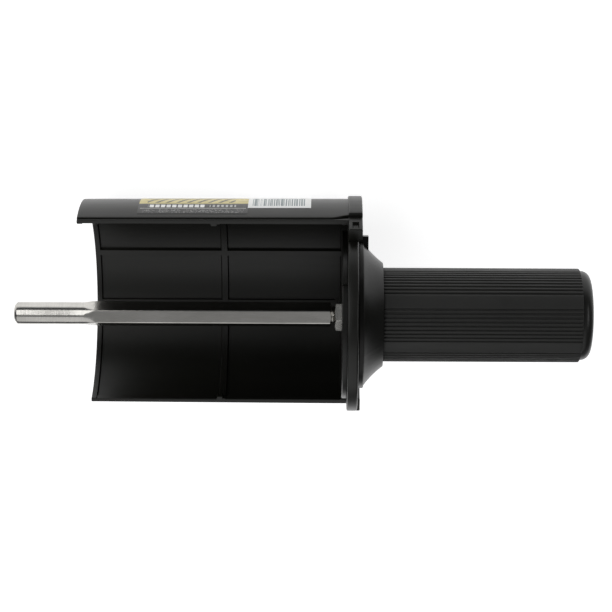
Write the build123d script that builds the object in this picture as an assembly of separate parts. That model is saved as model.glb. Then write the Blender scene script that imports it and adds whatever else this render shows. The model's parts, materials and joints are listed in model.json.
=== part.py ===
from build123d import *
import os
from math import cos, pi, radians, sin, sqrt

# Rotary brush handle for a power drill, with a 100 mm brush spindle and a half-round guard.
# The spindle's axis is +X, +Z is up, and the origin is on the axis where the drill shank's tip
# bevel ends and its full diameter starts.
# The guard hangs below the spindle, open upwards. Angles round the axis, called clock angles
# here, are in degrees from +Z towards +Y. Lengths are in millimetres.

# ---- driving dimensions -------------------------------------------------------------------

# Spindle: one steel bar, turned to a drill shank in front and to a bearing journal behind
SHANK_R = 5.0
SHANK_CHAMFER = 1.2
TIP_X = -SHANK_CHAMFER
SHANK_END_X = 29.8
HEX_FLATS = 10.0
HEX_CORNER_R = HEX_FLATS / 2 / cos(radians(30))
HEX_TAPER = 4.0
HEX_END_X = 139.6
HEX_CLOCK = 48.0
HEX_END_BEVEL = 0.8
JOURNAL_R = 4.0
JOURNAL_END_X = 246.8
JOURNAL_CHAMFER = 0.8

# Nuts and washers on the journal, all M8
NUT_FLATS = 13.0
NUT_CORNER_R = NUT_FLATS / 2 / cos(radians(30))
NUT_BEVEL = 0.7
JAM_NUT_X = 141.2
JAM_NUT_LENGTH = 4.0
JAM_NUT_CLOCK = 13.4
LOCK_NUT_HEX = 6.0
LOCK_NUT_COLLAR = 2.0
LOCK_NUT_COLLAR_R = 6.2
INSERT_R = 5.5
REAR_WASHER_R = 8.0
REAR_WASHER_LENGTH = 1.6
SPACER_R = 5.9

# Ball bearings, size 608
BEARING_LENGTH = 7.0
BEARING_R = 11.0
INNER_RACE_R = 5.95
OUTER_RACE_BORE_R = 9.5
BALL_R = 1.984
BALL_PITCH_R = 7.5
BALL_COUNT = 7
RACEWAY_GAP = 0.10
SHIELD_R = 9.9
SHIELD_THICK = 0.35
SHIELD_INSET = 0.15
SHIELD_BORE_R = 6.2
CAGE_IN_R = 6.8
CAGE_OUT_R = 8.2
CAGE_BACK = 2.5
CAGE_FRONT = 0.6
REAR_BEARING_X = 228.8
CLIP_THICK = 1.1
CLIP_IN_R = 9.7
CLIP_GROOVE_R = 11.6
CLIP_GAP_ANGLE = 40.0
CLIP_EAR_R = 1.1

# Stack that the guard turns in: front plate, guard ring, handle flange
PLATE_X = 144.3
PLATE_THICK = 2.1
PLATE_R = 37.3
PLATE_BORE_R = 9.3
PLATE_TAB_R = 39.6
PLATE_TAB_WIDTH = 3.5
PLATE_TAB_CLOCK = 57.0
BOSS_X = PLATE_X + PLATE_THICK
BOSS_R = 30.0
RING_GAP = 0.2
RING_X = BOSS_X + RING_GAP
RING_BORE_R = BOSS_R + 0.25
RING_R = 42.9
FLANGE_X = 151.5
RING_END_X = FLANGE_X - RING_GAP
FLANGE_END_X = 153.9
FLANGE_R = 32.8
FLANGE_BEVEL = 0.35
FLANGE_TAB = (151.8, 156.0, 35.2, 7.0, 118.0)
FRICTION_IN_R = 31.4
FRICTION_OUT_R = 35.4
FRICTION_DEPTH = 1.1
FRICTION_PROUD = 0.15

# Front plate's screws, M3 countersunk
SCREW_COUNT = 6
SCREW_CIRCLE_R = 22.0
SCREW_R = 1.5
SCREW_HEAD_R = 2.8
SCREW_HEAD_DEPTH = 1.6
SCREW_LENGTH = 10.0
SCREW_BOSS_R = 3.4
SCREW_CROSS = (2.6, 0.7, 1.0)

# Handle hub: flange, flared neck and the tube under the grip
FLARE = ((153.9, 31.8), (158.6, 26.4), (162.5, 23.1))
CORE_R = 16.0
CORE_END_X = 248.8
CORE_BORE_R = 9.0
POCKET_IN_R = 13.4
POCKET_OUT_R = 27.4
POCKET_DEPTH = 9.5
POCKET_WALL = BOSS_R - POCKET_OUT_R
WEB_THICK = 2.0

# Grip: a ribbed sleeve closed by an end cap
GRIP_X = 162.5
GRIP_END_X = 249.6
GRIP_R = 20.9
GRIP_BORE_R = 16.05
GRIP_BEVEL = 0.35
GROOVE_GROUPS = 6
GROOVES_PER_GROUP = 9
GROOVE_PITCH = 5.0
GROOVE_WIDTH = 0.75
GROOVE_DEPTH = 0.5
LAND_CLOCK = 51.5
CAP_R = 19.9
CAP_END_X = 254.9
CAP_ROUND = 4.0
CAP_DOME = 0.4
CAP_SPIGOT_R = 10.9
CAP_SPIGOT_BORE_R = 8.9
CAP_SPIGOT_X = 240.8
CAP_CAVITY_X = 252.0

# Guard: a half-round shell with its middle straight down; its own centre is a little lower
# than the spindle, and its skin has a slight draft towards the front edge
GUARD_CLOCK = 180.0
GUARD_DROP = 1.7
GUARD_X = 29.6
GUARD_R = 50.6
GUARD_DRAFT = 0.5
WALL_IN_R = 48.8
RIB_IN_R = 47.4
WALL_HALF_ANGLE = 91.1
LIP_HALF_ANGLE = 92.7
LIP_START_ANGLE = 89.3
LIP_R = 50.0
BEAD_LENGTH = 2.4
MID_RIB_X = 88.45
MID_RIB_LENGTH = 2.9
END_RIB_LENGTH = 2.4
LONG_RIB_WIDTH = 3.0
LONG_RIB_ANGLES = (-30.0, 0.0, 30.0)
RIM_TAB_X = 87.3
RIM_TAB_LENGTH = 2.8
RIM_TAB_ANGLE = 3.6
RIM_TAB_IN_R = 46.4
COLLAR_X = 146.9
COLLAR_END_X = 153.0
COLLAR_IN_R = 43.6
COLLAR_R = 51.9
COLLAR_HALF_ANGLE = 89.4
LUG_R = 50.0
LUG_ROOT_R = 41.8
LUG_HALF_ANGLE = 100.0
LUG_POCKET = (148.4, 151.4, 93.8, 98.6, 1.2)
END_WALL_IN_R = 39.0
EDGE_ROUND = 0.5

# Labels on the guard's outer skin, front edge of each at the clock angle nearest the rim
LABEL_THICK = 0.12
LABEL_X = 55.4
LABEL_END_X = 103.1
LABEL_CLOCKS = (92.2, 140.0)
STICKER_END_X = 130.6
STICKER_CLOCKS = (98.7, 140.0)


# ---- helpers --------------------------------------------------------------------------------

def turned(outline, span=360.0, centre=0.0, arcs=()):
    """Revolve an outline of (x, radius) points about X, over a span centred on a clock angle.

    Arcs, each through three points, close the outline from its last point to its first one.
    """
    line = Polyline(*[(x, 0, r) for x, r in outline], close=not arcs)
    curves = [ThreePointArc(*[(x, 0, r) for x, r in arc]) for arc in arcs]
    solid = revolve(make_face([line] + curves), axis=Axis.X, revolution_arc=span)
    return Rot(-(centre + span / 2), 0, 0) * solid if span < 360 else solid


def tube(x0, x1, r_in, r_out, span=360.0, centre=0.0):
    """A plain ring, or a sector of one, between two radii."""
    return turned([(x0, r_in), (x1, r_in), (x1, r_out), (x0, r_out)], span, centre)


def rod(x0, x1, r):
    """A round bar along X."""
    return Pos((x0 + x1) / 2, 0, 0) * Rot(0, 90, 0) * Cylinder(r, x1 - x0)


def at_clock(clock, radius):
    """Location at a clock angle and a distance from the axis, local Z pointing outwards."""
    return Rot(-clock, 0, 0) * Pos(0, 0, radius)


def hex_bar(x0, x1, flats, clock):
    """A hexagonal bar along X with a corner at a clock angle."""
    corner_r = flats / 2 / cos(radians(30))
    angles = [radians(clock + 60 * k) for k in range(6)]
    corners = [(x0, corner_r * sin(a), corner_r * cos(a)) for a in angles]
    return extrude(make_face(Polyline(*corners, close=True)), amount=x1 - x0, dir=(1, 0, 0))


def write(node, shape):
    """Write one node's solids to its own STEP file."""
    os.makedirs("parts", exist_ok=True)
    export_step(shape, f"parts/{node}.step")


# ---- spindle and what is clamped to it --------------------------------------------------

def spindle_bar():
    """Hexagonal bar with the shank, the tapered hexagon end and the journal."""
    shank_end = [(TIP_X, 0), (TIP_X, SHANK_R - SHANK_CHAMFER), (0, SHANK_R), (SHANK_END_X, SHANK_R)]
    envelope = turned(shank_end + [
        (SHANK_END_X + HEX_TAPER, HEX_CORNER_R), (HEX_END_X - HEX_END_BEVEL, HEX_CORNER_R),
        (HEX_END_X, HEX_CORNER_R - HEX_END_BEVEL), (HEX_END_X, 0),
    ])
    hexagon = hex_bar(TIP_X, HEX_END_X, HEX_FLATS, HEX_CLOCK) & envelope
    journal = turned([
        (HEX_END_X, 0), (HEX_END_X, JOURNAL_R), (JOURNAL_END_X - JOURNAL_CHAMFER, JOURNAL_R),
        (JOURNAL_END_X, JOURNAL_R - JOURNAL_CHAMFER), (JOURNAL_END_X, 0),
    ])
    return hexagon + turned(shank_end + [(SHANK_END_X, 0)]) + journal


def bevelled_nut(x0, x1, clock):
    """An M8 hexagon nut with its corners turned off at both faces."""
    envelope = turned([
        (x0, 0), (x0, NUT_CORNER_R - NUT_BEVEL), (x0 + NUT_BEVEL / 2, NUT_CORNER_R),
        (x1 - NUT_BEVEL / 2, NUT_CORNER_R), (x1, NUT_CORNER_R - NUT_BEVEL), (x1, 0),
    ])
    return hex_bar(x0, x1, NUT_FLATS, clock) & envelope


def jam_nut():
    end_x = JAM_NUT_X + JAM_NUT_LENGTH
    return bevelled_nut(JAM_NUT_X, end_x, JAM_NUT_CLOCK) - rod(JAM_NUT_X, end_x, JOURNAL_R)


def lock_nut(x0):
    """Lock nut with a round collar bored out for its insert."""
    hex_end = x0 + LOCK_NUT_HEX
    end_x = hex_end + LOCK_NUT_COLLAR
    body = bevelled_nut(x0, hex_end, JAM_NUT_CLOCK) + rod(hex_end, end_x, LOCK_NUT_COLLAR_R)
    return body - rod(x0, end_x, JOURNAL_R) - rod(hex_end, end_x, INSERT_R)


# ---- ball bearings -----------------------------------------------------------------------

def raceway(x_mid):
    """The ring of space that the balls roll in."""
    circle = Plane.XZ * Pos(x_mid, BALL_PITCH_R) * Circle(BALL_R + RACEWAY_GAP)
    return revolve(circle, axis=Axis.X)


def bearing_balls(x_mid):
    step = 360 / BALL_COUNT
    spots = [at_clock(k * step, BALL_PITCH_R) for k in range(BALL_COUNT)]
    return [Pos(x_mid, 0, 0) * spot * Sphere(BALL_R) for spot in spots]


def bearing_cage(x_mid):
    """Snap-in cage ring with a pocket for each ball."""
    ring = tube(x_mid - CAGE_BACK, x_mid + CAGE_FRONT, CAGE_IN_R, CAGE_OUT_R)
    step = 360 / BALL_COUNT
    for k in range(BALL_COUNT):
        ring -= Pos(x_mid, 0, 0) * at_clock(k * step, BALL_PITCH_R) * Sphere(BALL_R + RACEWAY_GAP / 2)
    return ring


def bearing_parts(x0):
    """Inner race, outer race, balls, cage and the pair of shields of one bearing."""
    x1 = x0 + BEARING_LENGTH
    x_mid = (x0 + x1) / 2
    track = raceway(x_mid)
    seat = SHIELD_INSET + SHIELD_THICK
    inner = tube(x0, x1, JOURNAL_R, INNER_RACE_R) - track
    outer = turned([
        (x0, SHIELD_R), (x0 + seat, SHIELD_R), (x0 + seat, OUTER_RACE_BORE_R),
        (x1 - seat, OUTER_RACE_BORE_R), (x1 - seat, SHIELD_R), (x1, SHIELD_R),
        (x1, BEARING_R), (x0, BEARING_R),
    ]) - track
    front = tube(x0 + SHIELD_INSET, x0 + seat, SHIELD_BORE_R, SHIELD_R)
    back = tube(x1 - seat, x1 - SHIELD_INSET, SHIELD_BORE_R, SHIELD_R)
    return {
        "bearing_inner_race": inner,
        "bearing_outer_race": outer,
        "bearing_balls": Compound(bearing_balls(x_mid)),
        "bearing_cage": bearing_cage(x_mid),
        "bearing_shields": Compound([front, back]),
    }


def circlip(x0):
    """Internal snap ring with two pierced ears."""
    x1 = x0 + CLIP_THICK
    ring = tube(x0, x1, CLIP_IN_R, CLIP_GROOVE_R, 360 - CLIP_GAP_ANGLE, 180)
    ear_r = CLIP_IN_R + CLIP_EAR_R / 2
    for side in (-1, 1):
        ear_at = Rot(-side * (CLIP_GAP_ANGLE / 2 + 4), 0, 0) * Pos(0, 0, ear_r)
        ring += ear_at * rod(x0, x1, CLIP_EAR_R)
        ring -= ear_at * rod(x0, x1, CLIP_EAR_R / 2)
    return ring


# ---- handle ------------------------------------------------------------------------------

def screw_spots():
    """Places of the front plate's screws round the axis."""
    step = 360 / SCREW_COUNT
    return [at_clock((k + 0.5) * step, SCREW_CIRCLE_R) for k in range(SCREW_COUNT)]


def hub_outline():
    """Half section of the hub, from the flare's small end round by the bores to its large end."""
    front_seat_end = BOSS_X + BEARING_LENGTH
    clip_x = REAR_BEARING_X + BEARING_LENGTH
    flange_rim = [
        (FLANGE_X, BOSS_R), (FLANGE_X, FLANGE_R - FLANGE_BEVEL), (FLANGE_X + FLANGE_BEVEL, FLANGE_R),
        (FLANGE_END_X - FLANGE_BEVEL, FLANGE_R), (FLANGE_END_X, FLANGE_R - FLANGE_BEVEL),
    ]
    core = [(GRIP_X, CORE_R), (CORE_END_X, CORE_R)]
    bores = [
        (CORE_END_X, BEARING_R), (clip_x + CLIP_THICK, BEARING_R),
        (clip_x + CLIP_THICK, CLIP_GROOVE_R), (clip_x, CLIP_GROOVE_R), (clip_x, BEARING_R),
        (REAR_BEARING_X, BEARING_R), (REAR_BEARING_X, CORE_BORE_R),
        (front_seat_end, CORE_BORE_R), (front_seat_end, BEARING_R), (BOSS_X, BEARING_R),
    ]
    return [FLARE[-1]] + core + bores + [(BOSS_X, BOSS_R)] + flange_rim + [FLARE[0]]


def hub_pockets():
    """Space cored out of the boss between its screw bosses and webs."""
    pocket = tube(BOSS_X, BOSS_X + POCKET_DEPTH, POCKET_IN_R, POCKET_OUT_R)
    mid_x = BOSS_X + POCKET_DEPTH / 2
    for spot in screw_spots():
        pocket -= spot * rod(BOSS_X, BOSS_X + POCKET_DEPTH, SCREW_BOSS_R)
        pocket -= Pos(mid_x, 0, 0) * spot * Box(POCKET_DEPTH, WEB_THICK, 2 * POCKET_OUT_R - SCREW_CIRCLE_R)
    return pocket


def handle_hub():
    """Moulded hub: boss, flange with its small tab, flared neck and core tube in one piece."""
    hub = turned(hub_outline(), arcs=[FLARE]) - hub_pockets()
    for spot in screw_spots():
        hub -= spot * rod(BOSS_X, BOSS_X + SCREW_LENGTH - PLATE_THICK, SCREW_R)
    tab_x, tab_end_x, tab_r, tab_width, tab_clock = FLANGE_TAB
    tab_height = tab_r - BOSS_R + POCKET_WALL
    tab = Box(tab_end_x - tab_x, tab_width, tab_height)
    tab_at = at_clock(tab_clock, tab_r - tab_height / 2)
    return hub + Pos((tab_x + tab_end_x) / 2, 0, 0) * tab_at * tab


def retaining_plate():
    """Front plate that keeps the guard's ring and the front bearing in place, grooved behind."""
    x0, x1 = PLATE_X, BOSS_X
    bevel = FLANGE_BEVEL
    plate = turned([
        (x0, PLATE_BORE_R), (x1, PLATE_BORE_R), (x1, PLATE_R), (x0 + bevel, PLATE_R),
        (x0, PLATE_R - bevel),
    ])
    tab_height = PLATE_TAB_R - PLATE_R + 2
    tab = Box(PLATE_THICK, PLATE_TAB_WIDTH, tab_height)
    tab_at = Pos((x0 + x1) / 2, 0, 0) * at_clock(PLATE_TAB_CLOCK, PLATE_TAB_R - tab_height / 2)
    plate += tab_at * tab
    plate -= tube(x1 - FRICTION_DEPTH, x1, FRICTION_IN_R, FRICTION_OUT_R)
    for spot in screw_spots():
        plate -= spot * rod(x0, x1, SCREW_R + 0.1)
        plate -= spot * screw_head(0.0)
    return plate


def screw_head(clearance):
    """Countersunk head on the X axis, flush with the plate's front face."""
    x1 = PLATE_X + SCREW_HEAD_DEPTH
    head_r = SCREW_HEAD_R - clearance
    return turned([(PLATE_X, 0), (PLATE_X, head_r), (x1, SCREW_R), (x1, 0)])


def plate_screws():
    """The countersunk screws, with cross recesses."""
    end_x = PLATE_X + SCREW_LENGTH
    length, width, depth = SCREW_CROSS
    screw = screw_head(0.05) + rod(PLATE_X + SCREW_HEAD_DEPTH, end_x, SCREW_R)
    for size in ((depth, length, width), (depth, width, length)):
        screw -= Pos(PLATE_X + depth / 2, 0, 0) * Box(*size)
    return Compound([spot * screw for spot in screw_spots()])


def grip_sleeve():
    """Soft sleeve with fine grooves along it, in groups between plain lands."""
    x0, x1 = GRIP_X, GRIP_END_X
    sleeve = turned([
        (x0, GRIP_BORE_R), (x1, GRIP_BORE_R), (x1, GRIP_R - GRIP_BEVEL), (x1 - GRIP_BEVEL, GRIP_R),
        (x0 + GRIP_BEVEL, GRIP_R), (x0, GRIP_R - GRIP_BEVEL),
    ])
    groove = Box(x1 - x0, GROOVE_WIDTH, 2 * GROOVE_DEPTH)
    group_step = 360 / GROOVE_GROUPS
    cutters = []
    for group in range(GROOVE_GROUPS):
        middle = LAND_CLOCK + (group + 0.5) * group_step
        for k in range(GROOVES_PER_GROUP):
            clock = middle + (k - (GROOVES_PER_GROUP - 1) / 2) * GROOVE_PITCH
            cutters.append(Pos((x0 + x1) / 2, 0, 0) * at_clock(clock, GRIP_R) * groove)
    return sleeve - cutters


def end_cap():
    """Rounded and slightly domed cap with a spigot that pushes into the core tube."""
    rim_r = CAP_R - CAP_ROUND
    rim_x = CAP_END_X - CAP_DOME
    round_x = rim_x - CAP_ROUND
    diagonal = CAP_ROUND * cos(radians(45))
    dome_r = (rim_r ** 2 + CAP_DOME ** 2) / (2 * CAP_DOME)
    dome_mid_x = CAP_END_X - dome_r + sqrt(dome_r ** 2 - (rim_r / 2) ** 2)
    rim = [(round_x, CAP_R), (round_x + diagonal, rim_r + diagonal), (rim_x, rim_r)]
    dome = [(rim_x, rim_r), (dome_mid_x, rim_r / 2), (CAP_END_X, 0)]
    return turned([
        (CAP_END_X, 0), (CAP_CAVITY_X, 0), (CAP_CAVITY_X, CAP_SPIGOT_BORE_R),
        (CAP_SPIGOT_X, CAP_SPIGOT_BORE_R), (CAP_SPIGOT_X, CAP_SPIGOT_R),
        (GRIP_END_X, CAP_SPIGOT_R), (GRIP_END_X, CAP_R), (round_x, CAP_R),
    ], arcs=[rim, dome])


# ---- guard -------------------------------------------------------------------------------

def drafted(x, r):
    """Radius r of the guard's skin, less the draft at a distance along the axis."""
    return r - GUARD_DRAFT * max(0, COLLAR_X - x) / (COLLAR_X - GUARD_X)


def drafted_tube(x0, x1, r_in, r_out, span, centre):
    """A sector of a ring with its outside drafted like the guard's skin."""
    outline = [(x0, r_in), (x1, r_in), (x1, drafted(x1, r_out)), (x0, drafted(x0, r_out))]
    return turned(outline, span, centre)


def guard_sector(x0, x1, r_in, r_out, half_angle):
    """A sector of the guard, even on both sides of its middle."""
    return tube(x0, x1, r_in, r_out, 2 * half_angle, GUARD_CLOCK)


def guard_lips():
    """Thick lips along both long edges, stepped in a little from the outer skin."""
    width = LIP_HALF_ANGLE - LIP_START_ANGLE
    middle = (LIP_HALF_ANGLE + LIP_START_ANGLE) / 2
    sides = [GUARD_CLOCK - middle, GUARD_CLOCK + middle]
    return [drafted_tube(GUARD_X, RING_X, RIB_IN_R, LIP_R, width, side) for side in sides]


def guard_ribs():
    """Ribs inside the wall: both ends, the middle one with its rim tabs, and three along it."""
    mid_end_x = MID_RIB_X + MID_RIB_LENGTH
    ribs = [
        guard_sector(GUARD_X, GUARD_X + BEAD_LENGTH, RIB_IN_R, WALL_IN_R, LIP_START_ANGLE),
        guard_sector(MID_RIB_X, mid_end_x, RIB_IN_R, WALL_IN_R, LIP_START_ANGLE),
        guard_sector(RING_X - END_RIB_LENGTH, RING_X, RIB_IN_R, WALL_IN_R, LIP_START_ANGLE),
    ]
    for side in (-1, 1):
        tab_clock = GUARD_CLOCK + side * (LIP_HALF_ANGLE - RIM_TAB_ANGLE / 2)
        tab_end_x = RIM_TAB_X + RIM_TAB_LENGTH
        ribs.append(tube(RIM_TAB_X, tab_end_x, RIM_TAB_IN_R, WALL_IN_R, RIM_TAB_ANGLE, tab_clock))
    rib_angle = LONG_RIB_WIDTH / WALL_IN_R * 180 / pi
    for offset in LONG_RIB_ANGLES:
        ribs.append(tube(GUARD_X, RING_X, RIB_IN_R, WALL_IN_R, rib_angle, GUARD_CLOCK + offset))
    return ribs


def guard_collar():
    """Raised collar round the ring, with a lower lug past each long edge."""
    crown = turned([
        (COLLAR_X, COLLAR_IN_R), (COLLAR_END_X, COLLAR_IN_R), (COLLAR_END_X, COLLAR_R - EDGE_ROUND),
        (COLLAR_END_X - EDGE_ROUND, COLLAR_R), (COLLAR_X + EDGE_ROUND, COLLAR_R),
        (COLLAR_X, COLLAR_R - EDGE_ROUND),
    ], 2 * COLLAR_HALF_ANGLE, GUARD_CLOCK)
    lugs = guard_sector(COLLAR_X, COLLAR_END_X, COLLAR_IN_R, LUG_R, LUG_HALF_ANGLE)
    lugs += guard_sector(COLLAR_X, RING_END_X, LUG_ROOT_R, LUG_R, LUG_HALF_ANGLE)
    pocket_x0, pocket_x1, near, far, depth = LUG_POCKET
    for side in (-1, 1):
        clock = GUARD_CLOCK + side * (near + far) / 2
        lugs -= tube(pocket_x0, pocket_x1, LUG_R - depth, LUG_R + 1, far - near, clock)
    return crown + lugs


def guard_ring():
    """Ring that turns on the boss."""
    bevel = FLANGE_BEVEL
    return turned([
        (RING_X, RING_BORE_R), (RING_END_X, RING_BORE_R), (RING_END_X, RING_R - bevel),
        (RING_END_X - bevel, RING_R), (RING_X + bevel, RING_R), (RING_X, RING_R - bevel),
    ])


def guard_shell():
    """Whole guard in one moulding: the lowered half-round shell on its ring."""
    end_x = COLLAR_X + 1
    wall = drafted_tube(GUARD_X, end_x, WALL_IN_R, GUARD_R, 2 * WALL_HALF_ANGLE, GUARD_CLOCK)
    end_wall = guard_sector(RING_X, RING_END_X, END_WALL_IN_R, WALL_IN_R, LIP_HALF_ANGLE)
    shell = wall + guard_lips() + guard_ribs() + end_wall + guard_collar()
    return Pos(0, 0, -GUARD_DROP) * shell + guard_ring()


def skin_label(x0, x1, clocks):
    """A thin film on the guard's outer skin between two clock angles."""
    first, last = clocks
    skin0, skin1 = drafted(x0, GUARD_R), drafted(x1, GUARD_R)
    outline = [(x0, skin0), (x1, skin1), (x1, skin1 + LABEL_THICK), (x0, skin0 + LABEL_THICK)]
    return Pos(0, 0, -GUARD_DROP) * turned(outline, last - first, (first + last) / 2)


# ---- all nodes -----------------------------------------------------------------------------

def build_all():
    clip_x = REAR_BEARING_X + BEARING_LENGTH
    nut_end_x = JAM_NUT_X + JAM_NUT_LENGTH
    front_end_x = BOSS_X + BEARING_LENGTH
    lock_x = clip_x + REAR_WASHER_LENGTH
    insert_x = lock_x + LOCK_NUT_HEX

    write("spindle_bar", spindle_bar())
    write("jam_nut", jam_nut())
    write("front_washer", tube(nut_end_x, BOSS_X, JOURNAL_R, SPACER_R))
    write("spacer_tube", tube(front_end_x, REAR_BEARING_X, JOURNAL_R, SPACER_R))
    write("rear_washer", tube(clip_x, lock_x, JOURNAL_R, REAR_WASHER_R))
    write("lock_nut", lock_nut(lock_x))
    write("lock_nut_insert", tube(insert_x, insert_x + LOCK_NUT_COLLAR, JOURNAL_R, INSERT_R))

    for place, x0 in (("front", BOSS_X), ("rear", REAR_BEARING_X)):
        for name, shape in bearing_parts(x0).items():
            write(f"{place}_{name}", shape)

    write("handle_hub", handle_hub())
    write("retaining_plate", retaining_plate())
    write("plate_screws", plate_screws())
    friction_x, friction_end_x = BOSS_X - FRICTION_DEPTH, BOSS_X + FRICTION_PROUD
    write("friction_ring", tube(friction_x, friction_end_x, FRICTION_IN_R, FRICTION_OUT_R))
    write("circlip", circlip(clip_x))
    write("grip_sleeve", grip_sleeve())
    write("end_cap", end_cap())

    write("guard_shell", guard_shell())
    write("guard_label", skin_label(LABEL_X, LABEL_END_X, LABEL_CLOCKS))
    write("code_sticker", skin_label(LABEL_END_X, STICKER_END_X, STICKER_CLOCKS))


build_all()
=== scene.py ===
import json
from math import atan, ceil, cos, degrees, pi, radians, sin, sqrt, tan

import bmesh
import bpy
from mathutils import Matrix, Vector


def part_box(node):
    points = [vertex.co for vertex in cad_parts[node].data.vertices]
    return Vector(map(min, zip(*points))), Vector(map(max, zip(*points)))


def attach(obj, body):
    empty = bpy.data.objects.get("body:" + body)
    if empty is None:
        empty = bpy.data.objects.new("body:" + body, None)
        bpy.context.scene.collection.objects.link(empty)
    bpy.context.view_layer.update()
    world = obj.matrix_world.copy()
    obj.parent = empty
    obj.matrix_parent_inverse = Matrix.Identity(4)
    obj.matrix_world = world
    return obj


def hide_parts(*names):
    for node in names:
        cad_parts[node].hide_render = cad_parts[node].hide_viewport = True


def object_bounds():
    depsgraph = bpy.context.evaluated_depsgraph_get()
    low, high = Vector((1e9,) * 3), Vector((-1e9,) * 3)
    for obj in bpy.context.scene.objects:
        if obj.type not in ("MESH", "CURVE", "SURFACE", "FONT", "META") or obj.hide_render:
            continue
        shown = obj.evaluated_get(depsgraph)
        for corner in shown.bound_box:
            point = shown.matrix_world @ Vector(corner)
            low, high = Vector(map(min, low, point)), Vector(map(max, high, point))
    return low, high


# Looks of a rotary brush handle: half-round guard, hexagonal spindle, ribbed grip.
# The spindle's axis is +X. Shapes are worked out in millimetres, as a distance along the axis,
# a radius and a clock angle in degrees from +Z towards +Y, and turned into metres at the end.

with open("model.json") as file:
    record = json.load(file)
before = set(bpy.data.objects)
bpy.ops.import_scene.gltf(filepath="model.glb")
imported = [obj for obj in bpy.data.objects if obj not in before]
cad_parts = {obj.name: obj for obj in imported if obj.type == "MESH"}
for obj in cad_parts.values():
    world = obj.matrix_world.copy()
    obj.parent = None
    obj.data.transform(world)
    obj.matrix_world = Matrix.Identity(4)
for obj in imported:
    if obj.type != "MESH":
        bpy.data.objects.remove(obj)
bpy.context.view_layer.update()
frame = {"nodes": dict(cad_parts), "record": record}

MM = 0.001


# ---- sizes read from the frame ------------------------------------------------------------

def low(node):
    """Lowest corner of a CAD node, in millimetres."""
    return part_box(node)[0] / MM


def high(node):
    """Highest corner of a CAD node, in millimetres."""
    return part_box(node)[1] / MM


def mount_size(name, key):
    """One stated dimension of a mount."""
    mounts = {mount["name"]: mount for mount in frame["record"]["mounts"]}
    return mounts[name]["dims"][key]


TIP_X = low("spindle_bar").x
JOURNAL_END_X = high("spindle_bar").x
SHANK_R = mount_size("drive_shank", "r_mm")
SHANK_END_X = mount_size("drive_shank", "length_mm")
NUT_X, NUT_END_X = low("jam_nut").x, high("jam_nut").x
LOCK_NUT_X = low("lock_nut").x
PLATE_END_X = high("retaining_plate").x
GRIP_X, GRIP_END_X = low("grip_sleeve").x, high("grip_sleeve").x
GRIP_R = high("grip_sleeve").y
GUARD_X = low("guard_shell").x
COLLAR_END_X = high("guard_shell").x
COLLAR_R = high("guard_shell").y
GUARD_DROP = -low("guard_shell").z - COLLAR_R
LABEL_X, LABEL_END_X = low("guard_label").x, high("guard_label").x
STICKER_END_X = high("code_sticker").x

# Steps at which shapes are sampled
SHARP_ANGLE = 35.0
ARC_STEPS = 4
CURVE_STEP = 2.0
SKIN_STEP = 6.0
LENGTH_STEP = 8.0

# Spindle
HEX_FLATS = 2 * SHANK_R
HEX_CLOCK = 48.0
HEX_ROUND = 0.45
HEX_TAPER = 4.0
HEX_END_X = NUT_X - 1.6
HEX_END_BEVEL = 0.7
HEX_END_R = SHANK_R - 0.1
SHANK_FIRST_X = 2.0
SHANK_STEP = 7.0
HEX_STEP = 12.0
JOURNAL_SHOULDER = 0.25
JOURNAL_SHOULDER_LENGTH = 0.1
JOURNAL_BEVEL = 0.5
SHANK_BEVEL = 1.2
SHANK_EASE = 0.15
SHANK_EASE_DEPTH = 0.12
TIP_ROUND = 0.3
TIP_FACE_R = SHANK_R - SHANK_BEVEL - 0.2
SCALLOP_SHARES = (0.34, 0.67, 1.0)
TURNED_END_X = SHANK_END_X + 0.6
JOURNAL_R = 4.0
THREAD_PITCH = 1.25
THREAD_DEPTH = 0.62
THREAD_LEAD_IN = 0.9
THREAD_STEPS = 8

# Jam nut
NUT_FLATS = 13.0
NUT_CLOCK = 13.4
NUT_ROUND = 0.35
NUT_FACE_R = 6.2
NUT_COUNTERSINK = 0.5
NUT_FACE_EASE = 0.15
NUT_CHAMFER_ANGLE = 30.0

# Guard
GUARD_CLOCK = 180.0
GUARD_R = COLLAR_R - 1.3
WALL_IN_R = GUARD_R - 1.8
RIB_HEIGHT = 1.4
GUARD_HALF_ANGLE = 92.7
GUARD_DRAFT = 0.5
SHELF = 1.4
SHELF_GROOVE = 0.7
SHELF_GROOVE_R = GUARD_R - 1.3
LIP_R = GUARD_R - 0.6
LIP_WIDTH = 2.9
LIP_HEIGHT = 1.1
RIM_ROUND = 0.4
BEAD_LENGTH = 2.4
MID_RIB_X = 89.9
MID_RIB_LENGTH = 2.9
LONG_RIB_WIDTH = 3.0
LONG_RIB_ANGLES = (-30.0, 0.0, 30.0)
RIB_TOP = 0.15
RIB_FOOT = 0.35
TAB_X = 88.7
TAB_HEIGHT = 2.4
TAB_WIDTH = 3.0
TAB_HALF_LENGTH = 1.25
SWEEP_LENGTH = 7.5
SWEEP_ANGLE = 2.4
SWEEP_RISE = (80.0, 88.5)
SWEEP_FALL = 90.7
SHELF_STEP = 0.012

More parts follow.
